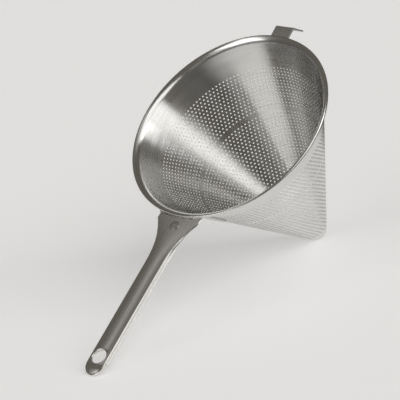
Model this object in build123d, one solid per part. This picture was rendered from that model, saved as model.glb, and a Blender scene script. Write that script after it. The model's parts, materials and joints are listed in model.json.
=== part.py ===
from build123d import *
import os
from math import asin, atan2, cos, degrees, hypot, pi, radians, sin, sqrt

# Chinois strainer lying on its tip and on the end of its handle.
# Everything is built with the cone's axis on Z, the mouth up, the rim's top at z = 0 and the handle
# towards -X. The finished pieces are then tilted together onto the floor.

# Sheet and cone
rim_diameter = 240.0
sheet_thickness = 0.7
cone_half_angle = 25.9
tip_outer_radius = 15.3
bead_diameter = 3.0
wire_clearance = 0.05
flare_radius = 10.0
flare_end_angle = 72.0
curl_end_angle = 320.0

# Perforation below the plain band. The solid has a coarse grid of openings, one for each group of small
# holes and with the same open area, in rings spaced from the line opposite the seam.
plain_band = 37.0
hole_diameter = 1.9
ring_pitch = 3.95
hole_pitch = 4.65
seam_margin = 4.0
tip_margin = 6.0
rings_per_opening = 4
holes_per_opening = 4

# Welds
seam_width = 1.0
seam_proud = 0.25
tip_weld_radius = 0.7
nugget_radius = 2.5
rim_weld_radius = 1.1
rim_weld_length = 9.0
rim_weld_offset = 24.0

# Handle
handle_sheet = 1.2
handle_reach = 201.5
handle_slope = 1.7
handle_drop = 3.3
handle_inboard = 8.0
flare_half_width = 29.0
grip_half_width = 12.0
flare_straight = 4.0
flare_length = 56.0
flare_power = 1.9
flare_side_height = 1.8
grip_side_height = 6.0
crown_rise = 1.5
least_sag = 0.03
flare_steps = 8
flange_width = 1.8
flange_end_setback = 15.0
nose_drop_radius = 32.0
nose_drop_length = 16.0
hanging_hole_radius = 8.5
hanging_hole_setback = 22.0
collar_height = 4.0
relief_slot_length = 10.0
relief_slot_width = 1.6
relief_slot_offset = 15.0
relief_slot_reach = 1.0

# Bracket under the handle, hugging the cone
bracket_sheet = 1.2
fit_gap = 0.15
bracket_half_width = 20.0
bracket_foot_half_width = 13.5
bracket_straight_slant = 37.0
bracket_slant = 63.0
bracket_leg_reach = 24.0
bracket_leg_half_width = 15.0
bracket_corner = 3.0
bracket_weld_slants = (14.0, 28.0)
bracket_weld_offset = 12.0

# Rivet through the handle and the bracket
rivet_reach = 11.0
rivet_shank_radius = 3.0
rivet_head_radius = 5.8
rivet_head_rise = 2.2
rivet_tail_radius = 4.6
rivet_tail_height = 1.5
rivet_fit = 0.05

# Hook strip opposite the handle
hook_sheet = 1.5
hook_width = 25.0
hook_reach = 14.5
hook_leg = 17.5
hook_leg_angle = 64.0
hook_bend_radius = 2.4
hook_tail_slant = 26.0
hook_rim_gap = 0.3
hook_weld_slant = 16.0
hook_weld_offset = 6.5

cut_overrun = 5.0

# Worked out from the sizes above
rim_radius = rim_diameter / 2
bead_radius = bead_diameter / 2
half_sheet = sheet_thickness / 2
wall_turn = radians(cone_half_angle)
flare_turn = radians(flare_end_angle)
curl_turn = radians(curl_end_angle)
bead_centre = (rim_radius - bead_radius, -bead_radius)


def arc_point(centre, radius, turn):
    """Point of a bend where the sheet runs at the angle turn from the cone's axis."""
    return (centre[0] - radius * cos(turn), centre[1] + radius * sin(turn))


flare_start = arc_point(bead_centre, bead_radius - half_sheet, flare_turn)
flare_centre = (flare_start[0] + flare_radius * cos(flare_turn), flare_start[1] - flare_radius * sin(flare_turn))
outer_top = arc_point(flare_centre, flare_radius - half_sheet, wall_turn)
inner_top = arc_point(flare_centre, flare_radius + half_sheet, wall_turn)
outer_reach = outer_top[0] * cos(wall_turn) - outer_top[1] * sin(wall_turn)
tip_centre_depth = (outer_reach - tip_outer_radius) / sin(wall_turn)
apex_depth = outer_reach / sin(wall_turn)
rim_slant = outer_reach / sin(wall_turn) / cos(wall_turn)


def in_section(point):
    """A radius and a height as a point of the XZ plane."""
    return (point[0], 0, point[1])


def line(start, end):
    return Line(in_section(start), in_section(end))


def bend(centre, radius, start_turn, end_turn):
    """Arc of the section from one sheet direction to another."""
    turns = (start_turn, (start_turn + end_turn) / 2, end_turn)
    return ThreePointArc(*[in_section(arc_point(centre, radius, turn)) for turn in turns])


def spun(edges):
    """Closed section turned once round the cone's axis."""
    return revolve(make_face(edges), axis=Axis.Z)


def wall_point(slant, outward):
    """Point of the wall by its slant below the rim plane and its distance outside the outer face."""
    along = rim_slant - slant
    return (
        along * sin(wall_turn) + outward * cos(wall_turn),
        -apex_depth + along * cos(wall_turn) - outward * sin(wall_turn),
    )


def tip_point(radius):
    """Where the wall meets the tip's ball of the given radius."""
    return (radius * cos(wall_turn), -tip_centre_depth - radius * sin(wall_turn))


def wall_band(top_slant, bottom_slant, inner, outer):
    """Conical band between two slants, from the distance inner to the distance outer off the outer face."""
    corners = [
        wall_point(top_slant, inner),
        wall_point(top_slant, outer),
        wall_point(bottom_slant, outer),
        wall_point(bottom_slant, inner),
    ]
    return spun([line(corners[i - 1], corners[i]) for i in range(len(corners))])


def wall_plane(slant, offset, side):
    """Plane on the wall's outer face, its Z outwards; side is 1 at the hook and -1 at the handle."""
    radius, height = wall_point(slant, 0)
    turn = asin(offset / radius)
    across = side * cos(turn)
    origin = (radius * across, offset, height)
    outwards = (cos(wall_turn) * across, cos(wall_turn) * sin(turn), -sin(wall_turn))
    return Plane(origin=origin, z_dir=outwards)


def build_cone_blank():
    """Rolled wall, flared lip and curled bead, before any hole is made."""
    inner_radius = bead_radius - sheet_thickness
    outer_bend = flare_radius - half_sheet
    inner_bend = flare_radius + half_sheet
    edges = [
        line(tip_point(tip_outer_radius), outer_top),
        bend(flare_centre, outer_bend, wall_turn, flare_turn),
        bend(bead_centre, inner_radius, flare_turn, curl_turn),
        line(arc_point(bead_centre, inner_radius, curl_turn), arc_point(bead_centre, bead_radius, curl_turn)),
        bend(bead_centre, bead_radius, curl_turn, flare_turn),
        bend(flare_centre, inner_bend, flare_turn, wall_turn),
        line(inner_top, tip_point(tip_outer_radius - sheet_thickness)),
        line(tip_point(tip_outer_radius - sheet_thickness), tip_point(tip_outer_radius)),
    ]
    return spun(edges)


def perforation():
    """Drills for the coarse grid of openings, each as large as the group of holes that it stands for."""
    drills = []
    opening_radius = hole_diameter / 2 * sqrt(rings_per_opening * holes_per_opening)
    top = rim_slant - plain_band
    bottom = tip_outer_radius * cos(wall_turn) / sin(wall_turn) + tip_margin
    ring_count = int((top - bottom) / ring_pitch) + 1
    for group in range(ring_count // rings_per_opening):
        middle_ring = group * rings_per_opening + (rings_per_opening - 1) / 2
        radius, height = wall_point(plain_band + middle_ring * ring_pitch, -half_sheet)
        farthest = pi - (seam_margin + opening_radius) / radius
        step = holes_per_opening * hole_pitch / radius
        reach = int(farthest / step)
        for count in range(-reach, reach + 1):
            turn = count * step
            origin = (radius * cos(turn), radius * sin(turn), height)
            outwards = (cos(wall_turn) * cos(turn), cos(wall_turn) * sin(turn), -sin(wall_turn))
            drills.append(Plane(origin=origin, z_dir=outwards) * Cylinder(opening_radius, 2 * cut_overrun))
    return drills


def seam_strip(inner, outer, top_overrun):
    """Flat strip along the seam, on the handle's side, between two distances off the outer face."""
    top_slant = rim_slant - (outer_top[0] / sin(wall_turn)) - top_overrun
    bottom_slant = rim_slant - tip_outer_radius * cos(wall_turn) / sin(wall_turn)
    corners = [
        wall_point(top_slant, inner),
        wall_point(top_slant, outer),
        wall_point(bottom_slant, outer),
        wall_point(bottom_slant, inner),
    ]
    face = make_face(Polyline(*[(-r, 0, z) for r, z in corners], close=True))
    return extrude(face, amount=seam_width / 2, dir=(0, 1, 0), both=True)


def nuggets(places, side, strip):
    """Spot welds through the wall and the strip that lies on it."""
    height = sheet_thickness + fit_gap + strip
    pins = []
    for slant, offset in places:
        pin = Pos(0, 0, height / 2 - sheet_thickness) * Cylinder(nugget_radius, height)
        pins.append(wall_plane(slant, offset, side) * pin)
    return pins


def handle_place():
    """Handle's own frame: X out along the handle from the rim's edge, Z up, zero at the top's middle."""
    out = (-cos(radians(handle_slope)), 0, sin(radians(handle_slope)))
    up = (sin(radians(handle_slope)), 0, cos(radians(handle_slope)))
    return Plane(origin=(-rim_radius, 0, -handle_drop), x_dir=out, z_dir=up)


def flare_share(reach):
    """How much of the flare's extra width is left at a distance from the rim's edge."""
    left = 1 - (reach - flare_straight) / flare_length
    return min(1, max(0, left)) ** flare_power


def crown_sag(reach):
    """How far the crowned top falls from its middle to its edge; it is all but flat over the bracket."""
    grown = (reach - bracket_leg_reach) / (flare_straight + flare_length - bracket_leg_reach)
    return least_sag + (crown_rise - least_sag) * min(1, max(0, grown))


def channel_size(reach):
    """Half-width and height of the channel at a distance from the rim's edge."""
    share = flare_share(reach)
    half = grip_half_width + (flare_half_width - grip_half_width) * share
    height = grip_side_height + (flare_side_height - grip_side_height) * share
    return half, height


def channel_form(reaches, inset):
    """Block under the crowned top, set in by inset from the top and the sides, through the given distances."""
    sections = []
    for reach in reaches:
        half, height = channel_size(reach)
        side = half - inset
        edge = -crown_sag(reach) - inset
        bottom = -height if inset == 0 else -height - cut_overrun
        sections.append(make_face([
            ThreePointArc((reach, -side, edge), (reach, 0, -inset), (reach, side, edge)),
            Polyline((reach, side, edge), (reach, side, bottom), (reach, -side, bottom), (reach, -side, edge)),
        ]))
    return loft(sections, ruled=True)


def flange_form(reaches, side):
    """Narrow flange along the lower edge of one side wall, through the given distances."""
    sections = []
    for reach in reaches:
        half, height = channel_size(reach)
        inner = side * (half - handle_sheet)
        outer = side * (half + flange_width * (1 - flare_share(reach)) + least_sag)
        corners = [(inner, -height), (outer, -height), (outer, handle_sheet - height), (inner, handle_sheet - height)]
        sections.append(make_face(Polyline(*[(reach, y, z) for y, z in corners], close=True)))
    return loft(sections, ruled=True)


def end_form(inset):
    """Room under the handle's end: rounded in plan, and its top curved down towards the end."""
    half = grip_half_width - inset
    centre = handle_reach - grip_half_width
    start = flare_straight + flare_length
    low = -grip_side_height - 2 * cut_overrun
    plan = make_face([
        Polyline((centre, half, low), (start, half, low), (start, -half, low), (centre, -half, low)),
        ThreePointArc((centre, -half, low), (centre + half, 0, low), (centre, half, low)),
    ])
    drop_start = handle_reach - nose_drop_length
    drop_radius = nose_drop_radius - inset
    drop_centre = -nose_drop_radius
    turn = asin(nose_drop_length / nose_drop_radius)
    arc = [
        (drop_start + drop_radius * sin(angle), 0, drop_centre + drop_radius * cos(angle))
        for angle in (0, turn / 2, turn)
    ]
    side = make_face([
        ThreePointArc(*arc),
        Polyline(arc[-1], (arc[-1][0], 0, low), (start, 0, low), (start, 0, -inset), arc[0]),
    ])
    upright = extrude(plan, amount=-2 * low, dir=(0, 0, 1))
    return upright & extrude(side, amount=grip_half_width, dir=(0, 1, 0), both=True)


def build_handle_shell():
    """Pressed channel: flared root, straight grip, rounded nose, collared hanging hole and relief slots."""
    grip_start = flare_straight + flare_length
    root = [-handle_inboard, flare_straight]
    open_root = [-handle_inboard - cut_overrun, flare_straight]
    flare = [flare_straight + flare_length * step / flare_steps for step in range(flare_steps + 1)]
    grip = [grip_start, handle_reach]
    shell = channel_form(root, 0) + channel_form(flare, 0) + (channel_form(grip, 0) & end_form(0))
    shell -= channel_form(open_root, handle_sheet) + channel_form(flare, handle_sheet)
    shell -= channel_form(grip, handle_sheet) & end_form(handle_sheet)
    flange_end = handle_reach - flange_end_setback
    for side in (-1, 1):
        shell += flange_form(root, side) + flange_form(flare, side) + flange_form([grip_start, flange_end], side)
    hole_reach = handle_reach - hanging_hole_setback
    collar_radius = hanging_hole_radius + handle_sheet
    collar_top = -crown_rise * (collar_radius / grip_half_width) ** 2
    collar_middle = (collar_top - collar_height) / 2
    shell += Pos(hole_reach, 0, collar_middle) * Cylinder(collar_radius, collar_height + collar_top)
    shell -= Pos(hole_reach, 0, 0) * Cylinder(hanging_hole_radius, 4 * collar_height)
    for side in (-1, 1):
        outline = Rot(0, 0, 90) * SlotOverall(relief_slot_length, relief_slot_width)
        place = Pos(relief_slot_reach, side * relief_slot_offset, -grip_side_height)
        shell -= place * extrude(outline, amount=2 * grip_side_height)
    return shell


def build_bracket_leg():
    """Flat leg of the bracket, under the handle's flare, in the handle's frame."""
    top = -handle_sheet - rivet_fit
    length = bracket_leg_reach + handle_inboard
    leg = Box(length, 2 * bracket_leg_half_width, bracket_sheet)
    leg = fillet(leg.edges().filter_by(Axis.Z).group_by(Axis.X)[-1], bracket_corner)
    return Pos(length / 2 - handle_inboard, 0, top - bracket_sheet / 2) * leg


def build_bracket_foot():
    """Tapered tongue of the bracket, rolled to the cone."""
    band = wall_band(0, bracket_slant, fit_gap, fit_gap + bracket_sheet)
    straight = wall_point(bracket_straight_slant, 0)[1]
    bottom = wall_point(bracket_slant, 0)[1] - cut_overrun
    top = -handle_drop
    outline = Polyline(
        (0, -bracket_half_width, top),
        (0, -bracket_half_width, straight),
        (0, -bracket_foot_half_width, bottom),
        (0, bracket_foot_half_width, bottom),
        (0, bracket_half_width, straight),
        (0, bracket_half_width, top),
        close=True,
    )
    prism = extrude(make_face(outline), amount=2 * rim_radius, dir=(-1, 0, 0))
    leg_top = -handle_sheet - rivet_fit
    above = Pos(0, 0, leg_top + rim_radius / 2) * Box(rim_radius, 4 * bracket_half_width, rim_radius)
    return (band & prism) - handle_place() * above


def build_rivet():
    """Domed rivet with its shank and upset tail, in the handle's frame."""
    below = -handle_sheet - rivet_fit - bracket_sheet
    ball = (rivet_head_radius ** 2 + rivet_head_rise ** 2) / (2 * rivet_head_rise)
    head = Pos(0, 0, rivet_head_rise - ball) * Sphere(ball)
    head &= Pos(0, 0, ball) * Box(4 * ball, 4 * ball, 2 * ball)
    shank = Pos(0, 0, below / 2) * Cylinder(rivet_shank_radius, -below)
    tail = Pos(0, 0, below - rivet_tail_height / 2) * Cylinder(rivet_tail_radius, rivet_tail_height)
    return Pos(rivet_reach, 0, 0) * (head + shank + tail)


def hook_outline():
    """Side view of the hook's two free legs, as a closed face in the XZ plane."""
    top = -bead_diameter - hook_rim_gap
    corner_x = rim_radius + hook_reach
    drop = radians(hook_leg_angle)
    inset = hook_sheet * (1 - cos(drop)) / sin(drop)
    start_x = wall_point(0, 0)[0] - flare_radius
    end_x = corner_x + hook_leg * cos(drop)
    end_z = top - hook_leg * sin(drop)
    face = make_face(Polyline(
        (start_x, 0, top),
        (corner_x, 0, top),
        (end_x, 0, end_z),
        (end_x - hook_sheet * sin(drop), 0, end_z - hook_sheet * cos(drop)),
        (corner_x - inset, 0, top - hook_sheet),
        (start_x, 0, top - hook_sheet),
        close=True,
    ))
    return face, (corner_x, top)


def build_hook_strip():
    """Flat strip bent to stand out under the rim and turn down over a pot's edge."""
    face, corner = hook_outline()
    legs = extrude(face, amount=hook_width / 2, dir=(0, 1, 0), both=True)
    bends = legs.edges().filter_by(Axis.Y)
    outer = bends.sort_by_distance((corner[0], 0, corner[1]))[0]
    legs = fillet([outer], hook_bend_radius)
    tail = wall_band(0, hook_tail_slant, fit_gap, fit_gap + hook_sheet)
    top = -bead_diameter - hook_rim_gap
    strip = Pos(rim_radius, 0, top - rim_radius) * Box(2 * rim_radius, hook_width, 2 * rim_radius)
    return legs + (tail & strip)


def clearance_form():
    """Everything inside the wall's outer face, lip and bead, with the fit gap added."""
    outer_bend = flare_radius - half_sheet - fit_gap
    lip = arc_point(flare_centre, outer_bend, flare_turn)
    low = wall_point(rim_slant, fit_gap)
    start = arc_point(flare_centre, outer_bend, wall_turn)
    edges = [
        line((0, low[1]), low),
        line(low, start),
        bend(flare_centre, outer_bend, wall_turn, flare_turn),
        line(lip, (lip[0], cut_overrun)),
        line((lip[0], cut_overrun), (0, cut_overrun)),
        line((0, cut_overrun), (0, low[1])),
    ]
    return spun(edges)


def build_rim_welds(cone, shell):
    """Two short fillet welds in the corner between the bead and the handle's flare."""
    welds = []
    height = -handle_drop + rim_weld_radius / 2
    bead = Pos(0, 0, height) * Torus(rim_radius, rim_weld_radius)
    for side in (-1, 1):
        window = Pos(-rim_radius, side * rim_weld_offset, 0) * Box(rim_radius, rim_weld_length, rim_radius)
        weld = (bead & window) - cone - shell
        welds.append(weld.solids().sort_by(SortBy.VOLUME)[-1])
    return Compound(welds)


def build():
    """All pieces by name, still upright."""
    parts = {}
    in_handle = handle_place()
    keep_out = clearance_form()
    saddle_places = [(slant, side * bracket_weld_offset) for slant in bracket_weld_slants for side in (-1, 1)]
    hook_places = [(hook_weld_slant, side * hook_weld_offset) for side in (-1, 1)]
    saddle_pins = nuggets(saddle_places, -1, bracket_sheet)
    hook_pins = nuggets(hook_places, 1, hook_sheet)

    cone = build_cone_blank()
    cone -= perforation() + saddle_pins + hook_pins
    cone -= seam_strip(-2 * sheet_thickness, sheet_thickness, 0)
    parts["cone_wall"] = cone
    parts["rim_wire"] = Pos(0, 0, -bead_radius) * Torus(
        bead_centre[0], bead_radius - sheet_thickness - wire_clearance
    )
    ball_low = -tip_centre_depth - tip_outer_radius
    inner_ball = tip_outer_radius - sheet_thickness
    middle = (wall_turn + pi / 2) / 2

    def tip_arc(radius):
        on_arc = (radius * cos(middle), -tip_centre_depth - radius * sin(middle))
        lowest = (0, -tip_centre_depth - radius)
        return ThreePointArc(in_section(tip_point(radius)), in_section(on_arc), in_section(lowest))

    parts["tip_cap"] = spun([
        tip_arc(tip_outer_radius),
        line((0, ball_low), (0, ball_low + sheet_thickness)),
        tip_arc(inner_ball),
        line(tip_point(inner_ball), tip_point(tip_outer_radius)),
    ])
    parts["seam_weld"] = seam_strip(-sheet_thickness - seam_proud, 0, 0)
    joint = tip_point(inner_ball)
    ring = Pos(0, 0, joint[1]) * Torus(joint[0], tip_weld_radius)
    parts["tip_weld"] = ring - cone - parts["tip_cap"] - parts["seam_weld"]
    parts["tip_weld"] &= Pos(0, 0, joint[1]) * Cylinder(joint[0], 4 * tip_weld_radius)

    shell = in_handle * build_handle_shell() - keep_out
    leg = in_handle * build_bracket_leg() - keep_out
    bracket = leg + build_bracket_foot()
    rivet = in_handle * build_rivet()
    bore = in_handle * Pos(rivet_reach, 0, 0) * Cylinder(rivet_shank_radius + rivet_fit, 4 * handle_drop)
    parts["handle_shell"] = shell - bore
    parts["saddle_bracket"] = bracket - bore - saddle_pins
    parts["handle_rivet"] = rivet
    parts["saddle_welds"] = Compound([pin.solid() for pin in saddle_pins])
    parts["hook_strip"] = build_hook_strip() - keep_out - hook_pins
    parts["hook_welds"] = Compound([pin.solid() for pin in hook_pins])
    parts["rim_welds"] = build_rim_welds(cone, parts["handle_shell"])
    return parts


def resting_tilt():
    """Tilt that brings the tip's ball and the lower edge of the handle's nose onto one level."""
    slope = radians(handle_slope)
    nose_x = rim_radius + handle_reach * cos(slope) + grip_side_height * sin(slope)
    nose_z = -handle_drop + handle_reach * sin(slope) - grip_side_height * cos(slope)
    fall = tip_centre_depth + nose_z
    return degrees(atan2(fall, nose_x) + asin(tip_outer_radius / hypot(nose_x, fall)))


def main():
    os.makedirs("parts", exist_ok=True)
    tilt = resting_tilt()
    parts = {name: Rot(0, -tilt, 0) * shape for name, shape in build().items()}
    box = Compound(list(parts.values())).bounding_box()
    rest = Pos(-(box.min.X + box.max.X) / 2, -(box.min.Y + box.max.Y) / 2, -box.min.Z)
    for name, shape in parts.items():
        export_step(rest * shape, f"parts/{name}.step")
    print("tilt", tilt, "size", box.size)


main()
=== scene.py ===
"""Looks of the conical strainer: perforated cone, rolled rim, handle and hook strip, in brushed steel."""
import json
import logging
from collections.abc import Callable, Iterable
from dataclasses import dataclass
from enum import Enum
from math import asin, atan2, ceil, cos, hypot, pi, radians, sin, sqrt, tan

import bmesh
import bpy
import numpy as np
from mathutils import Matrix, Vector

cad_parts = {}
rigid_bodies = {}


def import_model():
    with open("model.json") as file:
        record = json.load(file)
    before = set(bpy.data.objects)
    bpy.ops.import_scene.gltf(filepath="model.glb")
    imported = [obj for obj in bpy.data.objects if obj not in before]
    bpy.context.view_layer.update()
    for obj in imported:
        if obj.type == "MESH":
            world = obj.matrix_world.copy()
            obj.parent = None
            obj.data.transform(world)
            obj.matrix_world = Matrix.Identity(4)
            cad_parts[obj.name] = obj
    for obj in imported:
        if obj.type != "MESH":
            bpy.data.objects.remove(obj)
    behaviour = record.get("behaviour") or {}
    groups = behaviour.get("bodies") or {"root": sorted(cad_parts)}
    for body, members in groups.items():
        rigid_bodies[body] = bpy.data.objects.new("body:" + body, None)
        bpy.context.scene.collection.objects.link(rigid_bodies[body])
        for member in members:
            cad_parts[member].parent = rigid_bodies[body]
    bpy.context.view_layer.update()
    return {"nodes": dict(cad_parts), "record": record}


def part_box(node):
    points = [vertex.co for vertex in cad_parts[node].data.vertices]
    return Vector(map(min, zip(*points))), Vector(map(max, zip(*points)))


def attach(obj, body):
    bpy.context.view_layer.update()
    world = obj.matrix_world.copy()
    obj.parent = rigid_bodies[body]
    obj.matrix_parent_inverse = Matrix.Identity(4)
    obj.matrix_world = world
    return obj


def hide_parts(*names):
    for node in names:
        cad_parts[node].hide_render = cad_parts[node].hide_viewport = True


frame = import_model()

log = logging.getLogger("strainer")
MM = 0.001
MERGE_REACH = 1e-4
SHARP_FOLD = 38
Point = tuple[float, float]


def clear_selection() -> None:
    """Deselects every object."""
    for item in bpy.context.view_layer.objects:
        item.select_set(False)


def take_up(piece: bpy.types.Object) -> None:
    """Makes a piece the only selected object and the active one.

    Args:
        piece: The object to work on.
    """
    clear_selection()
    piece.select_set(True)
    bpy.context.view_layer.objects.active = piece


def started(name: str) -> bpy.types.Object:
    """Names the primitive that has just been added.

    Args:
        name: The piece's name.

    Returns:
        The new object.
    """
    piece = bpy.context.object
    piece.name = piece.data.name = name
    return piece


def select_parts(piece: bpy.types.Object, kind: str, wanted: Callable) -> None:
    """Selects the vertices, edges or faces of a piece in edit mode that pass a test, and nothing else.

    Args:
        piece: The piece, in edit mode.
        kind: VERT, EDGE or FACE.
        wanted: Test of one bmesh element.
    """
    bpy.ops.mesh.select_mode(type=kind)
    bpy.ops.mesh.select_all(action="DESELECT")
    mesh = bmesh.from_edit_mesh(piece.data)
    parts = {"VERT": mesh.verts, "EDGE": mesh.edges, "FACE": mesh.faces}[kind]
    for part in parts:
        part.select_set(bool(wanted(part)))
    mesh.select_flush_mode()
    bmesh.update_edit_mesh(piece.data)


def use_modifier(piece: bpy.types.Object, kind: str, **settings) -> None:
    """Adds a modifier to a piece and applies it.

    Args:
        piece: The piece.
        kind: Blender's name of the modifier's type.
        **settings: Values of the modifier's properties.
    """
    modifier = piece.modifiers.new(kind.lower(), kind)
    for setting, value in settings.items():
        setattr(modifier, setting, value)
    take_up(piece)
    bpy.ops.object.modifier_apply(modifier=modifier.name)


def spun(name: str, outline: list[Point], steps: int) -> bpy.types.Object:
    """Turns a closed outline once round the Z axis.

    Args:
        name: The piece's name.
        outline: Radius and height of each corner, in order. It may start and end on the axis.
        steps: Number of steps in the whole turn.

    Returns:
        The closed piece, its faces outwards.
    """
    clear_selection()
    bpy.ops.mesh.primitive_circle_add(vertices=len(outline), fill_type="NOTHING")
    piece = started(name)
    for vertex, (radius, height) in zip(piece.data.vertices, outline):
        vertex.co = (radius, 0, height)
    bpy.ops.object.mode_set(mode="EDIT")
    bpy.ops.mesh.select_all(action="SELECT")
    bpy.ops.mesh.spin(steps=steps, angle=2 * pi, center=(0, 0, 0), axis=(0, 0, 1), use_auto_merge=True)
    bpy.ops.mesh.select_all(action="SELECT")
    bpy.ops.mesh.remove_doubles(threshold=MERGE_REACH)
    bpy.ops.mesh.dissolve_degenerate(threshold=MERGE_REACH)
    bpy.ops.mesh.select_all(action="SELECT")
    bpy.ops.mesh.normals_make_consistent(inside=False)
    bpy.ops.object.mode_set(mode="OBJECT")
    return piece


def lattice(name: str, rows: list[list[Vector]]) -> bpy.types.Object:
    """Makes a grid whose crossings lie at the given points.

    Args:
        name: The piece's name.
        rows: Points of each row, all rows equally long.

    Returns:
        The open sheet.
    """
    across = len(rows[0])
    clear_selection()
    bpy.ops.mesh.primitive_grid_add(x_subdivisions=across - 1, y_subdivisions=len(rows) - 1, size=2)
    piece = started(name)
    for vertex in piece.data.vertices:
        column = round((vertex.co.x + 1) / 2 * (across - 1))
        row = round((vertex.co.y + 1) / 2 * (len(rows) - 1))
        vertex.co = rows[row][column]
    piece.data.update()
    return piece


def face_towards(piece: bpy.types.Object, target: Vector) -> None:
    """Turns an open sheet's faces so that most of them look towards a point.

    Args:
        piece: The sheet.
        target: The point that its front looks at.
    """
    votes = sum((target - face.center).dot(face.normal) * face.area for face in piece.data.polygons)
    if votes < 0:
        piece.data.flip_normals()


def rounded(piece: bpy.types.Object, width: float, segments: int = 2, angle: float = 40) -> None:
    """Rounds the sharp edges of a piece.

    Args:
        piece: The closed piece.
        width: Width of the rounding, in millimetres.
        segments: Number of strips in it.
        angle: Least angle of an edge that is rounded, in degrees.
    """
    use_modifier(piece, "BEVEL", width=width, segments=segments, limit_method="ANGLE",
                 angle_limit=radians(angle), use_clamp_overlap=True)


def smooth(piece: bpy.types.Object, angle: float = 35) -> None:
    """Shades a piece smooth, with the edges above an angle kept sharp.

    Args:
        piece: The piece.
        angle: The angle, in degrees.
    """
    take_up(piece)
    bpy.ops.object.shade_smooth_by_angle(angle=radians(angle))


def joined(name: str, pieces: Iterable[bpy.types.Object]) -> bpy.types.Object:
    """Joins pieces into one object.

    Args:
        name: Name of the result.
        pieces: The pieces, which are used up.

    Returns:
        The joined object.
    """
    pieces = list(pieces)
    take_up(pieces[0])
    for piece in pieces:
        piece.select_set(True)
    bpy.ops.object.join()
    return started(name)


def fed(tree: bpy.types.NodeTree, node: bpy.types.Node, feeds: dict) -> bpy.types.Node:
    """Gives a shader node's inputs their sockets and values.

    Args:
        tree: The nodes.
        node: The node.
        feeds: Socket or value for each input, by its name or number.

    Returns:
        The same node.
    """
    for place, value in feeds.items():
        if isinstance(value, bpy.types.NodeSocket):
            tree.links.new(value, node.inputs[place])
        else:
            node.inputs[place].default_value = value
    return node


def added(tree: bpy.types.NodeTree, kind: str, feeds: dict, **settings) -> bpy.types.Node:
    """Adds a shader node.

    Args:
        tree: The nodes.
        kind: Blender's name of the node's type, without ShaderNode.
        feeds: Socket or value for each input, by its name or number.
        **settings: Values of the node's properties.

    Returns:
        The node.
    """
    node = tree.nodes.new("ShaderNode" + kind)
    for setting, value in settings.items():
        setattr(node, setting, value)
    return fed(tree, node, feeds)


def worked(tree: bpy.types.NodeTree, operation: str, *values) -> bpy.types.NodeSocket:
    """Adds a sum of numbers, from sockets or values, and gives its result."""
    return added(tree, "Math", dict(enumerate(values)), operation=operation).outputs["Value"]


def moved(tree: bpy.types.NodeTree, operation: str, *values) -> bpy.types.NodeSocket:
    """Adds a sum of vectors, from sockets or values, and gives its result."""
    return added(tree, "VectorMath", dict(enumerate(values)), operation=operation).outputs["Vector"]


def length_of(tree: bpy.types.NodeTree, vector: bpy.types.NodeSocket) -> bpy.types.NodeSocket:
    """Adds a vector's length."""
    return added(tree, "VectorMath", {0: vector}, operation="LENGTH").outputs["Value"]


def own_place(tree: bpy.types.NodeTree) -> bpy.types.NodeSocket:
    """Adds the object's own coordinates."""
    return added(tree, "TexCoord", {}).outputs["Object"]


class Placement:
    """Where the strainer lies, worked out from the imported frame."""

    def __init__(self) -> None:
        """Reads the tilt from the hook's rest face and the rim's centre from its wire."""
        rest = next(m for m in frame["record"]["mounts"] if m["name"] == "pot_rest")
        self.tilt = atan2(rest["axis"][0], -rest["axis"][2])
        low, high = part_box("rim_wire")
        turn = Matrix.Rotation(-self.tilt, 4, "Y")
        wire_centre = turn @ Vector((0, 0, -ConeSection().bead_radius * MM))
        shift = Matrix.Translation((low + high) / 2 - wire_centre)
        self.upright = shift @ turn @ Matrix.Scale(MM, 4)

    def apply(self, piece: bpy.types.Object, own: Matrix | None = None) -> None:
        """Brings a piece modelled upright, in millimetres, to its place in the frame.

        Args:
            piece: The piece.
            own: Place of the piece's own frame in the upright one.
        """
        piece.matrix_world = self.upright @ (own or Matrix.Identity(4))
        take_up(piece)
        bpy.ops.object.transform_apply(location=True, rotation=True, scale=True)


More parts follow.
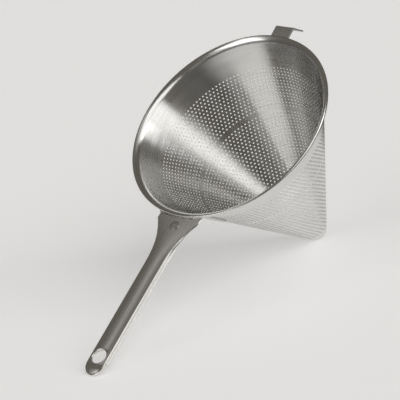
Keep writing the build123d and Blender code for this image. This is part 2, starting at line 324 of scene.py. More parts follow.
@dataclass
class ConeSection:
    """Section of the cone, in millimetres, its axis on Z and the rim's top at zero."""

    rim_radius: float = 120.0
    sheet: float = 0.7
    half_angle: float = 25.9
    tip_radius: float = 15.3
    bead_radius: float = 1.5
    flare_radius: float = 10.0
    flare_end: float = 72.0
    curl_end: float = 320.0

    def __post_init__(self) -> None:
        """Works out the bends' centres and the wall's line."""
        self.turn = radians(self.half_angle)
        end = radians(self.flare_end)
        self.bead_centre = (self.rim_radius - self.bead_radius, -self.bead_radius)
        start = self.arc_point(self.bead_centre, self.bead_radius - self.sheet / 2, end)
        self.flare_centre = (start[0] + self.flare_radius * cos(end), start[1] - self.flare_radius * sin(end))
        top = self.arc_point(self.flare_centre, self.flare_radius - self.sheet / 2, self.turn)
        reach = top[0] * cos(self.turn) - top[1] * sin(self.turn)
        self.tip_depth = (reach - self.tip_radius) / sin(self.turn)
        self.apex_depth = reach / sin(self.turn)
        self.rim_slant = self.apex_depth / cos(self.turn)

    @staticmethod
    def arc_point(centre: Point, radius: float, turn: float) -> Point:
        """Point of a bend where the sheet runs at the angle turn from the cone's axis."""
        return centre[0] - radius * cos(turn), centre[1] + radius * sin(turn)

    def arc(self, centre: Point, radius: float, start: float, end: float, steps: int) -> list[Point]:
        """Points along a bend.

        Args:
            centre: The bend's centre.
            radius: Its radius.
            start: First angle, in radians.
            end: Last angle.
            steps: Number of steps between them.

        Returns:
            The points, both ends included.
        """
        return [self.arc_point(centre, radius, start + (end - start) * i / steps) for i in range(steps + 1)]

    def wall_point(self, slant: float, outward: float) -> Point:
        """Point of the wall.

        Args:
            slant: Distance below the rim's plane, along the wall.
            outward: Distance outside the outer face.

        Returns:
            Radius and height.
        """
        along = self.rim_slant - slant
        return (along * sin(self.turn) + outward * cos(self.turn),
                -self.apex_depth + along * cos(self.turn) - outward * sin(self.turn))

    def wall_place(self, slant: float, outward: float, offset: float, side: int) -> Vector:
        """Point on or off the wall, a distance to the side of its middle line.

        Args:
            slant: Distance below the rim's plane, along the wall.
            outward: Distance outside the outer face.
            offset: Distance from the plane of symmetry.
            side: 1 at the hook and -1 at the handle.

        Returns:
            The point in the upright frame.
        """
        radius, height = self.wall_point(slant, outward)
        return Vector((side * sqrt(radius ** 2 - offset ** 2), offset, height))


class Grain(Enum):
    """Which way the brush lines of a finish run."""

    AROUND = "around the cone's axis"
    LENGTHWISE = "along the handle"
    CROSSWISE = "across the strip"
    CLOUDY = "no one way"


@dataclass(frozen=True)
class Finish:
    """One steel finish: its two tones, how it shines and how its lines lie."""

    name: str
    slot: str
    grain: Grain
    light: tuple[float, float, float]
    dark: tuple[float, float, float]
    roughness: float
    roughness_swing: float
    anisotropy: float
    fine: float
    broad: float
    stretch: float
    relief: float


class Steel:
    """Makes the procedural steel materials out of shared node groups."""

    CONE = Finish("brushed_cone_steel", "cone_sheet", Grain.AROUND, (0.70, 0.695, 0.68), (0.62, 0.615, 0.60),
                  0.19, 0.05, 0.83, 0.6, 0.15, 2.6, 0.2)
    TIP = Finish("pressed_tip_steel", "tip", Grain.AROUND, (0.69, 0.68, 0.665), (0.58, 0.57, 0.555),
                 0.30, 0.08, 0.5, 0.6, 0.15, 2.6, 0.3)
    WIRE = Finish("drawn_wire_steel", "wire", Grain.CLOUDY, (0.74, 0.73, 0.71), (0.62, 0.61, 0.59),
                  0.30, 0.08, 0.0, 0.4, 0.08, 1.0, 0.1)
    HANDLE = Finish("brushed_handle_steel", "handle_sheet", Grain.LENGTHWISE, (0.74, 0.735, 0.71),
                    (0.64, 0.625, 0.595), 0.23, 0.06, 0.6, 0.8, 0.16, 0.025, 0.25)
    BRACKET = Finish("brushed_bracket_steel", "bracket_sheet", Grain.CROSSWISE, (0.74, 0.73, 0.71),
                     (0.60, 0.59, 0.57), 0.34, 0.08, 0.5, 1.1, 0.18, 0.03, 0.25)
    HOOK = Finish("brushed_hook_steel", "hook_sheet", Grain.CROSSWISE, (0.69, 0.68, 0.66),
                  (0.54, 0.535, 0.52), 0.32, 0.10, 0.6, 1.4, 0.2, 0.02, 0.35)
    RIVET = Finish("domed_rivet_steel", "rivet", Grain.CLOUDY, (0.78, 0.77, 0.75), (0.66, 0.65, 0.63),
                   0.28, 0.08, 0.0, 0.5, 0.1, 1.0, 0.15)
    WELD = Finish("weld_metal", "weld", Grain.CLOUDY, (0.60, 0.58, 0.55), (0.38, 0.36, 0.34),
                  0.42, 0.15, 0.0, 1.1, 0.25, 1.0, 0.9)
    bead_start = (261.5, 263.0)
    bead_anisotropy = 0.25
    fine_noise = {"Detail": 3, "Roughness": 0.65}
    broad_noise = {"Detail": 2}
    broad_share = 0.22
    tone_span = (0.36, 0.64)
    gloss_span = (0.3, 0.7)
    relief_depth = 0.02

    def __init__(self, placement: Placement, handle_frame: Matrix) -> None:
        """Builds the shared groups.

        Args:
            placement: Where the strainer lies.
            handle_frame: The handle's own frame in the upright one.
        """
        self.placement = placement
        self.handle_frame = handle_frame
        self.lines = self.line_group()
        self.made: dict[str, bpy.types.Material] = {}

    def line_group(self) -> bpy.types.ShaderNodeTree:
        """Builds the group that turns stretched coordinates into brush lines.

        Returns:
            The node group, with the outputs Tone, Gloss and Height.
        """
        tree = bpy.data.node_groups.new("brush_lines", "ShaderNodeTree")
        for name, kind in (("Place", "NodeSocketVector"), ("Fine", "NodeSocketFloat"),
                           ("Broad", "NodeSocketFloat")):
            tree.interface.new_socket(name, in_out="INPUT", socket_type=kind)
        for name in ("Tone", "Gloss", "Height"):
            tree.interface.new_socket(name, in_out="OUTPUT", socket_type="NodeSocketFloat")
        start = tree.nodes.new("NodeGroupInput").outputs
        end = tree.nodes.new("NodeGroupOutput")
        fine, broad = (
            added(tree, "TexNoise", {**look, "Vector": start["Place"], "Scale": start[name]}).outputs["Fac"]
            for name, look in (("Fine", self.fine_noise), ("Broad", self.broad_noise)))
        blend = added(tree, "Mix", {"Factor": self.broad_share, "A": fine, "B": broad}).outputs["Result"]
        low, high = self.tone_span
        spread = added(tree, "MapRange", {"Value": blend, "From Min": low, "From Max": high})
        fed(tree, end, {"Tone": spread.outputs["Result"], "Gloss": broad, "Height": fine})
        return tree

    @staticmethod
    def mapped(tree: bpy.types.NodeTree, matrix: Matrix) -> bpy.types.NodeSocket:
        """Object coordinates seen from another frame, in metres.

        Args:
            tree: The material's nodes.
            matrix: Turns a point of the row frame, in metres, into one of the wanted frame.

        Returns:
            The socket with the coordinates.
        """
        feeds = {"Vector": own_place(tree), "Location": matrix.to_translation(),
                 "Rotation": matrix.to_euler("XYZ")}
        return added(tree, "Mapping", feeds).outputs["Vector"]

    def stretched(self, tree: bpy.types.NodeTree, finish: Finish) -> tuple:
        """Coordinates, in millimetres, stretched along the brush lines, and the direction across the lines.

        Args:
            tree: The material's nodes.
            finish: The finish.

        Returns:
            The sockets of the coordinates, of the direction and of the distance from the cone's apex, or None
            where a finish has no direction or no apex.
        """
        to_upright = Matrix.Scale(MM, 4) @ self.placement.upright.inverted()
        if finish.grain is Grain.CLOUDY:
            return moved(tree, "MULTIPLY", self.mapped(tree, to_upright), (1 / MM,) * 3), None, None
        if finish.grain is Grain.LENGTHWISE:
            to_handle = Matrix.Scale(MM, 4) @ (self.placement.upright @ self.handle_frame).inverted()
            scale = (finish.stretch / MM, 1 / MM, 1 / MM)
            across = added(tree, "CombineXYZ", {"Y": 1}).outputs["Vector"]
            return moved(tree, "MULTIPLY", self.mapped(tree, to_handle), scale), across, None
        if finish.grain is Grain.CROSSWISE:
            scale = (1 / MM, finish.stretch / MM, 1 / MM)
            across = moved(tree, "CROSS_PRODUCT", added(tree, "NewGeometry", {}).outputs["Normal"], (0, 1, 0))
            return moved(tree, "MULTIPLY", self.mapped(tree, to_upright), scale), across, None
        depth = ConeSection().apex_depth
        from_apex = self.mapped(tree, Matrix.Translation((0, 0, depth * MM)) @ to_upright)
        unit = moved(tree, "NORMALIZE", moved(tree, "MULTIPLY", from_apex, (1, 1, 0)))
        slant = length_of(tree, from_apex)
        lift = added(tree, "CombineXYZ", {"Z": slant}).outputs["Vector"]
        place = moved(tree, "ADD", moved(tree, "MULTIPLY", unit, (finish.stretch,) * 3),
                      moved(tree, "MULTIPLY", lift, (1 / MM,) * 3))
        apex = self.placement.upright @ Vector((0, 0, -depth))
        return place, moved(tree, "SUBTRACT", own_place(tree), apex), slant

    def material(self, finish: Finish) -> bpy.types.Material:
        """Makes a finish's material, or gives it back if it is there already.

        Args:
            finish: The finish.

        Returns:
            The material.
        """
        if finish.name in self.made:
            return self.made[finish.name]
        material = bpy.data.materials.new(finish.name)
        material.use_nodes = True
        tree = material.node_tree
        place, across, slant = self.stretched(tree, finish)
        lines = added(tree, "Group", {"Place": place, "Fine": finish.fine, "Broad": finish.broad},
                      node_tree=self.lines).outputs
        tone = added(tree, "Mix", {"A": (*finish.dark, 1), "B": (*finish.light, 1), "Factor": lines["Tone"]},
                     data_type="RGBA")
        low, high = self.gloss_span
        swing = finish.roughness_swing / 2
        gloss = added(tree, "MapRange", {
            "Value": lines["Gloss"], "From Min": low, "From Max": high,
            "To Min": finish.roughness - swing, "To Max": finish.roughness + swing})
        bump = added(tree, "Bump", {"Height": lines["Height"], "Strength": finish.relief,
                                    "Distance": self.relief_depth * MM})
        feeds = {"Metallic": 1, "Anisotropic": finish.anisotropy, "Base Color": tone.outputs["Result"],
                 "Roughness": gloss.outputs["Result"], "Normal": bump.outputs["Normal"]}
        if across is not None:
            feeds["Tangent"] = across
        if slant is not None:
            start, end = (MM * value for value in self.bead_start)
            calm = added(tree, "MapRange", {"Value": slant, "From Min": start, "From Max": end,
                                            "To Min": finish.anisotropy, "To Max": self.bead_anisotropy})
            feeds["Anisotropic"] = calm.outputs["Result"]
        fed(tree, tree.nodes["Principled BSDF"], feeds)
        self.made[finish.name] = material
        return material

    def dress(self, piece: bpy.types.Object, finish: Finish) -> None:
        """Gives a piece one finish all over.

        Args:
            piece: The piece.
            finish: The finish.
        """
        piece.data.materials.clear()
        piece.data.materials.append(self.material(finish))


@dataclass
class Cone:
    """The rolled, perforated wall with its rim, and the cap that closes its point."""

    plain_band: float = 37.0
    hole_diameter: float = 1.9
    ring_pitch: float = 3.95
    hole_pitch: float = 4.65
    first_hole_share: float = -0.34
    seam_margin: float = 4.0
    tip_margin: float = 6.0
    steps: int = 360
    drill_sides: int = 8
    join_slant: float = 90.0
    join_gap: float = 2.1
    bead_lean: float = 0.35
    lip_cells: int = 6
    room_cells: int = 12
    bead_cells: int = 22
    cap_cells: int = 18
    cap_steps: int = 96
    bend_slack: float = 0.01
    lip_slack: float = 0.5
    least_match: float = 0.93

    def __post_init__(self) -> None:
        """Keeps the cone's section at hand."""
        self.section = ConeSection()
        self.tip_slant = self.section.rim_slant - self.section.tip_radius / tan(self.section.turn)

    def upper_outline(self) -> list[Point]:
        """Outline of the plain band, flared lip and curled rim, down to the joint between the two pieces."""
        s = self.section
        end, curl = radians(s.flare_end), radians(s.curl_end)
        outer = s.arc(s.flare_centre, s.flare_radius - s.sheet / 2, s.turn, end, self.lip_cells)
        room = s.arc(s.bead_centre, s.bead_radius - s.sheet, end, curl, self.room_cells)
        bead = s.arc(s.bead_centre, s.bead_radius, curl, end, self.bead_cells)
        inner = s.arc(s.flare_centre, s.flare_radius + s.sheet / 2, end, s.turn, self.lip_cells)
        return [s.wall_point(self.join_slant, 0), *outer, *room[1:], *bead, *inner[1:],
                s.wall_point(self.join_slant, -s.sheet)]

    def lower_outline(self) -> list[Point]:
        """Outline of the wall from the joint to the tip's cap."""
        s = self.section
        join, tip = self.join_slant, self.tip_slant
        return [s.wall_point(*corner) for corner in ((join, -s.sheet), (join, 0), (tip, 0), (tip, -s.sheet))]

    def drills(self, top: float, bottom: float) -> bpy.types.Object:
        """All drills for the rings of holes between two slants.

        Args:
            top: Slant above the first ring.
            bottom: Slant below the last ring.

        Returns:
            One object that holds every drill.
        """
        s = self.section
        clear_selection()
        bpy.ops.mesh.primitive_cylinder_add(vertices=self.drill_sides, radius=self.hole_diameter / 2,
                                            depth=6 * s.sheet)
        drill = started("drill")
        corners = np.array([vertex.co[:] for vertex in drill.data.vertices])
        sides = [tuple(face.vertices) for face in drill.data.polygons]
        points, faces = [], []
        rings = int((self.tip_slant - self.tip_margin - self.plain_band) / self.ring_pitch) + 1
        for ring in range(rings):
            slant = self.plain_band + ring * self.ring_pitch
            if not top < slant < bottom:
                continue
            radius, height = s.wall_point(slant, -s.sheet / 2)
            farthest = pi - self.seam_margin / radius
            reach = int(farthest * radius / self.hole_pitch)
            for count in range(-reach, reach + 1):
                turn = (count + self.first_hole_share) * self.hole_pitch / radius
                if abs(turn) >= farthest:
                    continue
                outwards = Vector((cos(s.turn) * cos(turn), cos(s.turn) * sin(turn), -sin(s.turn)))
                facing = np.array(outwards.to_track_quat("Z", "Y").to_matrix())
                centre = np.array([radius * cos(turn), radius * sin(turn), height])
                faces += [tuple(i + len(points) * len(corners) for i in side) for side in sides]
                points.append(corners @ facing.T + centre)
        mesh = bpy.data.meshes.new("drills")
        mesh.from_pydata(np.concatenate(points).tolist(), [], faces)
        cutter = bpy.data.objects.new("drills", mesh)
        bpy.context.collection.objects.link(cutter)
        bpy.data.objects.remove(drill)
        log.info("%d holes between slants %.0f and %.0f mm", len(points), top, bottom)
        return cutter

    def perforate(self, piece: bpy.types.Object, top: float, bottom: float) -> None:
        """Drills a piece of the wall.

        Args:
            piece: The piece, still upright.
            top: Slant of its upper end.
            bottom: Slant of its lower end.
        """
        cutter = self.drills(top, bottom)
        use_modifier(piece, "BOOLEAN", operation="DIFFERENCE", object=cutter, solver="MANIFOLD")
        bpy.data.objects.remove(cutter)

    def true_normals(self, piece: bpy.types.Object, placement: Placement) -> None:
        """Gives the sheet's faces the normals of the true cone, lip and bead, so that the cuts don't show.

        Args:
            piece: The piece, in its place.
            placement: Where the strainer lies.
        """
        s = self.section
        mesh = piece.data
        mesh.shade_smooth()
        points = np.empty(len(mesh.vertices) * 3)
        mesh.vertices.foreach_get("co", points)
        corner = np.empty(len(mesh.loops), int)
        mesh.loops.foreach_get("vertex_index", corner)
        counts = np.empty(len(mesh.polygons), int)
        mesh.polygons.foreach_get("loop_total", counts)
        flat = np.empty(len(mesh.polygons) * 3)
        mesh.polygons.foreach_get("normal", flat)
        back = np.array(placement.upright.inverted())
        own = points.reshape(-1, 3) @ back[:3, :3].T + back[:3, 3]
        own = own[corner]
        turn = back[:3, :3] * MM
        facing = np.repeat(flat.reshape(-1, 3) @ turn.T, counts, axis=0)
        radius = np.hypot(own[:, 0], own[:, 1])
        section = np.c_[radius, own[:, 2]]
        line = np.tile((cos(s.turn), -sin(s.turn)), (len(section), 1))
        for centre, sizes in ((s.flare_centre, (s.flare_radius - s.sheet / 2, s.flare_radius + s.sheet / 2)),
                              (s.bead_centre, (s.bead_radius - s.sheet, s.bead_radius))):
            off = section - np.array(centre)
            far = np.hypot(off[:, 0], off[:, 1])
            on_bend = np.min([abs(far - size) for size in sizes], axis=0) < self.bend_slack
            lip_foot = s.arc_point(s.flare_centre, s.flare_radius, s.turn)[1] - self.lip_slack
            above = section[:, 1] > lip_foot
            chosen = on_bend & above
            line[chosen] = -off[chosen] / far[chosen, None]
            if centre is s.bead_centre:
                line[chosen] *= -1
                line[chosen, 0] += self.bead_lean
                line[chosen] /= -np.hypot(line[chosen, 0], line[chosen, 1])[:, None]
        true = np.c_[line[:, :1] * own[:, :2] / radius[:, None], line[:, 1]]
        match = (true * facing).sum(1)
        smooth_side = abs(match) > self.least_match
        result = np.where(smooth_side[:, None], true * np.sign(match)[:, None], facing) @ turn
        result /= np.linalg.norm(result, axis=1)[:, None]
        mesh.normals_split_custom_set(result.tolist())

    def build(self, placement: Placement) -> list[bpy.types.Object]:
        """Builds the wall's two pieces and the tip's cap.

        Args:
            placement: Where the strainer lies.

        Returns:
            Upper wall, lower wall and cap.
        """
        s = self.section
        upper = spun("cone_wall_upper", self.upper_outline(), self.steps)
        lower = spun("cone_wall_lower", self.lower_outline(), self.steps)
        self.perforate(upper, 0, self.join_slant - self.join_gap)
        self.perforate(lower, self.join_slant - self.join_gap, self.tip_slant)
        for piece in (upper, lower):
            placement.apply(piece)
            self.true_normals(piece, placement)
        tip_centre = (0, -s.tip_depth)
        low, side = pi + pi / 2, pi + s.turn
        outer = s.arc(tip_centre, s.tip_radius, side, low, self.cap_cells)
        inner = s.arc(tip_centre, s.tip_radius - s.sheet, low, side, self.cap_cells)
        cap = spun("tip_cap_pressed", [(max(0, r), z) for r, z in outer + inner], self.cap_steps)
        smooth(cap)
        placement.apply(cap)
        return [upper, lower, cap]

    def dress(self, pieces: list[bpy.types.Object], steel: Steel) -> None:
        """Dresses the wall and the cap and ties them to their CAD nodes.

        Args:
            pieces: Upper wall, lower wall and cap.
            steel: The materials.
        """
        for piece, finish, node in zip(pieces, (steel.CONE, steel.CONE, steel.TIP),
                                       ("cone_wall", "cone_wall", "tip_cap")):
            steel.dress(piece, finish)
            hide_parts(node)
            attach(piece, "root")


@dataclass
class Handle:
    """Pressed channel handle: flared root, crowned grip, narrow flanges, rounded nose and hanging hole."""

    sheet: float = 1.2
    reach: float = 201.5
    slope: float = 1.7
    drop: float = 3.3
    inboard: float = 8.0
    root_radius: float = 114.6
    flare_half: float = 29.0
    grip_half: float = 12.0
    flare_straight: float = 4.0
    flare_length: float = 56.0
    flare_power: float = 2.3
    flare_height: float = 2.5
    grip_height: float = 6.6
    crown: float = 1.5
    least_sag: float = 0.5
    crown_start: float = 0.0
    wall_start: float = 6.0
    wall_length: float = 54.0
    edge_round: float = 1.8
    edge_turn: float = 60.0
    shoulder: float = 0.8
    bend: float = 1.0
    bend_sheet: float = 0.95
    wall_turn: float = 71.0
    fillet: float = 1.1
    fillet_end: float = 20.0
    flange: float = 2.2
    flange_fall: float = 0.2
    flange_end: float = 186.5
    nose_drop_radius: float = 32.0
    nose_drop_start: float = 185.5
    hole_radius: float = 8.5
    hole_setback: float = 22.0
    lip: float = 1.0
    lip_steps: int = 4
    lip_spread: float = 0.6
    lip_fall: float = 0.12
    collar: float = 4.0
    slot_length: float = 10.0
    slot_width: float = 1.6
    slot_offset: float = 15.0
    slot_reach: float = -0.6
    slot_sides: int = 16
    slot_depth: float = 20.0
    crown_cells: int = 8
    bend_cells: int = 4
    side_cells: int = 6
    nose_steps: int = 24
    patch_half: float = 10.0
    patch_cells: int = 16
    broken_edge: float = 0.22

    def __post_init__(self) -> None:
        """Works out the nose's centre, the hole's centre and the number of columns."""
        self.pole = self.reach - self.grip_half
        self.hole_reach = self.reach - self.hole_setback
        self.last_column = self.crown_cells + self.bend_cells + self.side_cells
        self.frame = self.own_frame()

    def own_frame(self) -> Matrix:
        """The handle's frame: X out along it from the rim's edge, Z up, zero at the top's middle."""
        turn = radians(self.slope)
        out = Vector((-cos(turn), 0, sin(turn)))
        up = Vector((sin(turn), 0, cos(turn)))
        across = up.cross(out)
        place = Matrix((out, across, up)).transposed().to_4x4()
        place.translation = (-ConeSection().rim_radius, 0, -self.drop)
        return place

    def flare_share(self, reach: float) -> float:
        """How much of the flare's extra width is left at a distance from the rim's edge."""
        left = 1 - (reach - self.flare_straight) / self.flare_length
        return min(1, max(0, left)) ** self.flare_power

    def sag(self, reach: float) -> float:
        """How far the crowned top falls from its middle to its edge."""
        grown = (reach - self.crown_start) / (self.flare_straight + self.flare_length - self.crown_start)
        return self.least_sag + (self.crown - self.least_sag) * min(1, max(0, grown))

    def half(self, reach: float) -> float:
        """Half-width of the channel."""
        return self.grip_half + (self.flare_half - self.grip_half) * self.flare_share(reach)

    def wall_share(self, reach: float) -> float:
        """How much of the side wall and flange is there, from none at the flare to all at the grip."""
        grown = min(1, max(0, (reach - self.wall_start) / self.wall_length))
        return grown * grown * (3 - 2 * grown)

    def height(self, reach: float) -> float:
        """Height of the channel's side."""
        return self.flare_height + (self.grip_height - self.flare_height) * self.wall_share(reach)

    def crown_end(self, reach: float) -> float:
        """Distance from the middle at which the crowned top goes over into the side."""
        return self.half(reach) - self.edge_round - (self.shoulder - self.edge_round) * self.wall_share(reach)

    def side_point(self, past: int, base: float, room: float) -> Point:
        """Where a column of the side lies on the outer face, seen from the crowned top's end.

        Args:
            past: Column number past the top's end.
            base: Distance whose section holds there.
            room: How far the flange, or the wall's cut edge beyond it, lies below the top's end.

        Returns:
            Distance outwards and downwards.
        """
        turn, end = radians(self.wall_turn), radians(self.fillet_end)
        bent_out, bent_down = self.bend * sin(turn), self.bend * (1 - cos(turn))
        on_wall = past - self.bend_cells
        if on_wall <= 0:
            angle = turn * past / self.bend_cells
            out, down = self.bend * sin(angle), self.bend * (1 - cos(angle))
        if base >= self.flange_end:
            share = max(0, on_wall) / self.side_cells
            if on_wall > 0:
                out = bent_out + (self.shoulder - bent_out) * share
                down = bent_down + (room - bent_down) * share
            return out, down
        full_room = self.grip_height - self.sheet - self.crown * (1 - self.shoulder / self.grip_half) ** 2
        start = full_room - self.fillet * (cos(end) - cos(turn))
        foot = bent_out + (start - bent_down) / tan(turn)
        if on_wall == self.side_cells:
            out, down = self.shoulder + self.flange, full_room + self.flange_fall
        elif on_wall > 0:
            angle = turn + (end - turn) * (on_wall - 1) / (self.side_cells - 2)
            out = foot + self.fillet * (sin(turn) - sin(angle))
            down = start + self.fillet * (cos(angle) - cos(turn))
        edge = radians(self.edge_turn)
        angle = edge * past / (self.bend_cells + self.side_cells)
        share = self.wall_share(base)
        plain_out = self.edge_round * sin(angle) / sin(edge)
        plain_down = (1 - cos(angle)) / (1 - cos(edge))
        fallen = plain_down + (down / full_room - plain_down) * share
        return plain_out + (out - plain_out) * share, room * fallen

    def top(self, along: float, across: float, base: float) -> float:
        """Level of the top's outer face.

        Args:
            along: Distance from the rim's edge.
            across: Distance from the middle.
            base: Distance whose width and crown hold there.

        Returns:
            The level, zero at the root's middle.
        """
        past = max(0, along - self.nose_drop_start)
        fall = self.nose_drop_radius - sqrt(self.nose_drop_radius ** 2 - past ** 2)
        return -self.sag(base) * (across / self.half(base)) ** 2 - fall

    def pressed(self, flat: Vector, inside: bool) -> Vector:
        """Where a point of the flat blank comes to lie in the press.

        Args:
            flat: The blank's point: distance along, and column number across or round the nose.
            inside: True for the sheet's inner face.

        Returns:
            The point in the handle's frame.
        """
        if flat.x > self.pole + 0.01:
            column = round(hypot(flat.x - self.pole, flat.y))
            way = Vector((flat.x - self.pole, flat.y)) / column
            base = self.pole
        else:
            column = round(abs(flat.y))
            way = Vector((0, 1 if flat.y > 0 else -1))
            base = flat.x
        edge = self.crown_end(base)
        flanged = base < self.flange_end

        def level_at(out: float) -> float:
            """Level of the top at a distance out from the middle or the nose's centre."""
            return self.top(base + way.x * out, way.y * out, base)

        lateral = edge * min(column, self.crown_cells) / self.crown_cells
        level = level_at(lateral)
        past = column - self.crown_cells
        if past <= 0:
            level -= self.sheet if inside else 0
        else:
            room = self.height(base) - (self.sheet if flanged else 0) + level
            out, down = self.side_point(past, base, room)
            if inside:
                before = self.side_point(past - 1, base, room)
                after = self.side_point(min(past + 1, self.bend_cells + self.side_cells), base, room)
                run = Vector((after[0] - before[0], after[1] - before[1])).normalized()
                thick = self.bend_sheet if past <= self.bend_cells else self.sheet
                out -= thick * run.y
                down += thick * run.x if flanged or past < self.bend_cells + self.side_cells else 0
            lateral, level = edge + out, level - down
        along = base + way.x * lateral
        if base == self.first_station():
            curved = sqrt(max(1, self.root_radius ** 2 - lateral ** 2)) - ConeSection().rim_radius
            along = max(-self.inboard, curved)
        return Vector((along, way.y * lateral, level))

    def first_station(self) -> float:
        """Station that stands for the root's curved edge."""
        return -self.inboard

    def stations(self) -> list[float]:
        """Distances of the blank's rows, from the root to the nose's centre."""
        grip_start = self.flare_straight + self.flare_length
        patch_start = self.pole - 2 * self.patch_half
        root = [self.first_station(), -3.6, -1.2, 1.2, self.flare_straight]
        flare = [self.flare_straight + self.flare_length * i / 20 for i in range(1, 21)]
        grip = [grip_start + (patch_start - grip_start) * i / 14 for i in range(1, 15)]
        cell = 2 * self.patch_half / self.patch_cells
        patch = [patch_start + cell * i for i in range(1, self.patch_cells + 1)]
        return root + flare + grip + patch

    def blank(self) -> bpy.types.Object:
        """Flat blank with its nose turned round and the hole's patch taken out.

        Returns:
            The blank, X along the handle and Y counting its columns.
        """
        columns = range(-self.last_column, self.last_column + 1)
        piece = lattice("handle_pressed", [[Vector((x, y, 0)) for y in columns] for x in self.stations()])
        face_towards(piece, Vector((0, 0, 1000)))
        pole = Vector((self.pole, 0, 0))
        bpy.ops.object.mode_set(mode="EDIT")
        select_parts(piece, "EDGE", lambda edge: all(
            v.co.x > self.pole - 0.01 and v.co.y > -0.01 for v in edge.verts))
        bpy.ops.mesh.spin(steps=self.nose_steps, angle=pi, center=pole, axis=(0, 0, 1))
        bpy.ops.mesh.select_all(action="SELECT")
        bpy.ops.mesh.remove_doubles(threshold=0.01)
        start = self.pole - 2 * self.patch_half
        select_parts(piece, "FACE", lambda face: (
            start < face.calc_center_median().x < self.pole
            and abs(face.calc_center_median().y) < self.crown_cells))
        bpy.ops.mesh.delete(type="FACE")
        bpy.ops.mesh.select_all(action="SELECT")
        bpy.ops.mesh.normals_make_consistent(inside=False)
        bpy.ops.object.mode_set(mode="OBJECT")
        face_towards(piece, Vector((0, 0, 1000)))
        return piece

    def add_lip(self, piece: bpy.types.Object) -> None:
        """Adds the hanging hole's rolled lip and collar to the pressed outer face.

        Args:
            piece: The pressed sheet, with an opening for the hole.
        """
        outer = self.hole_radius + self.lip
        count = 4 * self.patch_cells
        start = self.pole - 2 * self.patch_half
        bpy.ops.object.mode_set(mode="EDIT")
        bpy.ops.mesh.select_all(action="DESELECT")
        bpy.ops.mesh.primitive_circle_add(vertices=count, radius=outer, fill_type="NOTHING",
                                          location=(self.hole_reach, 0, 50), rotation=(0, 0, pi / 4))
        mesh = bmesh.from_edit_mesh(piece.data)
        layer = mesh.verts.layers.float_vector["blank_place"]
        ring = [v for v in mesh.verts if v.select]
        for vertex in ring:
            vertex.co.z = self.top(vertex.co.x, vertex.co.y, self.hole_reach)
            vertex[layer] = (0, 0, 1)
        for edge in mesh.edges:
            ends = [v[layer] for v in edge.verts]
            at_patch = all(
                v.z == 0 and start - 0.1 < v.x < self.pole + 0.1 and abs(v.y) < self.crown_cells + 0.1
                for v in ends)
            edge.select_set(edge.is_boundary and at_patch or edge.is_wire)
        bmesh.update_edit_mesh(piece.data)
        bpy.ops.mesh.select_mode(type="EDGE")
        bpy.ops.mesh.bridge_edge_loops()
        for step in range(1, self.lip_steps + 2):
            select_parts(piece, "EDGE", lambda edge: edge.is_boundary and all(
                v[edge_layer(piece)].z == 1 and v[edge_layer(piece)].y == step - 1 for v in edge.verts))
            bpy.ops.mesh.extrude_edges_move()
            mesh = bmesh.from_edit_mesh(piece.data)
            layer = mesh.verts.layers.float_vector["blank_place"]
            angle = min(step, self.lip_steps) / self.lip_steps * pi / 2
            radius = self.hole_radius + self.lip * (1 - sin(angle))
            for vertex in mesh.verts:
                if vertex.select:
                    way = (vertex.co.xy - Vector((self.hole_reach, 0))).normalized()
                    rim = Vector((self.hole_reach, 0)) + way * outer
                    level = self.top(rim.x, rim.y, self.hole_reach) - self.lip * (1 - cos(angle))
                    spot = Vector((self.hole_reach, 0)) + way * radius
                    vertex.co = (*spot, -self.collar if step > self.lip_steps else level)
                    vertex[layer] = (0, step, 1)
            bmesh.update_edit_mesh(piece.data)
        bpy.ops.mesh.select_all(action="SELECT")
        bpy.ops.mesh.normals_make_consistent(inside=False)
        bpy.ops.object.mode_set(mode="OBJECT")
        face_towards(piece, Vector((0, 0, 1000)))

    def thicken(self, piece: bpy.types.Object) -> None:
        """Gives the pressed face its inner side.

        Args:
            piece: The outer face.
        """
        count = len(piece.data.vertices)
        use_modifier(piece, "SOLIDIFY", thickness=self.sheet, offset=-1)
        mesh = piece.data
        flat = mesh.attributes["blank_place"].data
        outer = self.hole_radius + self.sheet
        for index in range(count):
            place = Vector(flat[index].vector)
            vertex = mesh.vertices[index + count]
            if place.z == 0:
                vertex.co = self.pressed(place, True)
                continue
            first = mesh.vertices[index].co
            way = (first.xy - Vector((self.hole_reach, 0))).normalized()
            spot = Vector((self.hole_reach, 0)) + way * (outer + self.lip_spread * max(0, 2 - place.y))
            level = self.top(spot.x, spot.y, self.hole_reach) - self.sheet
            low = -self.collar if place.y > self.lip_steps else level - self.lip_fall * place.y
            vertex.co = (*spot, low)
        mesh.update()

    def cut_slots(self, piece: bpy.types.Object) -> None:
        """Cuts the two relief slots near the root.

        Args:
            piece: The closed shell.
        """
        for side in (-1, 1):
            clear_selection()
            bpy.ops.mesh.primitive_cylinder_add(vertices=self.slot_sides, radius=self.slot_width / 2,
                                                depth=self.slot_depth, location=(0, 0, 0), rotation=(0, 0, 0))
            cutter = started("slot_cutter")
            shift = (self.slot_length - self.slot_width) / 2
            for vertex in cutter.data.vertices:
                vertex.co.y += shift if vertex.co.y > 0.01 else -shift
                vertex.co += Vector((self.slot_reach, side * self.slot_offset, 0))
            use_modifier(piece, "BOOLEAN", operation="DIFFERENCE", object=cutter, solver="MANIFOLD")
            bpy.data.objects.remove(cutter)

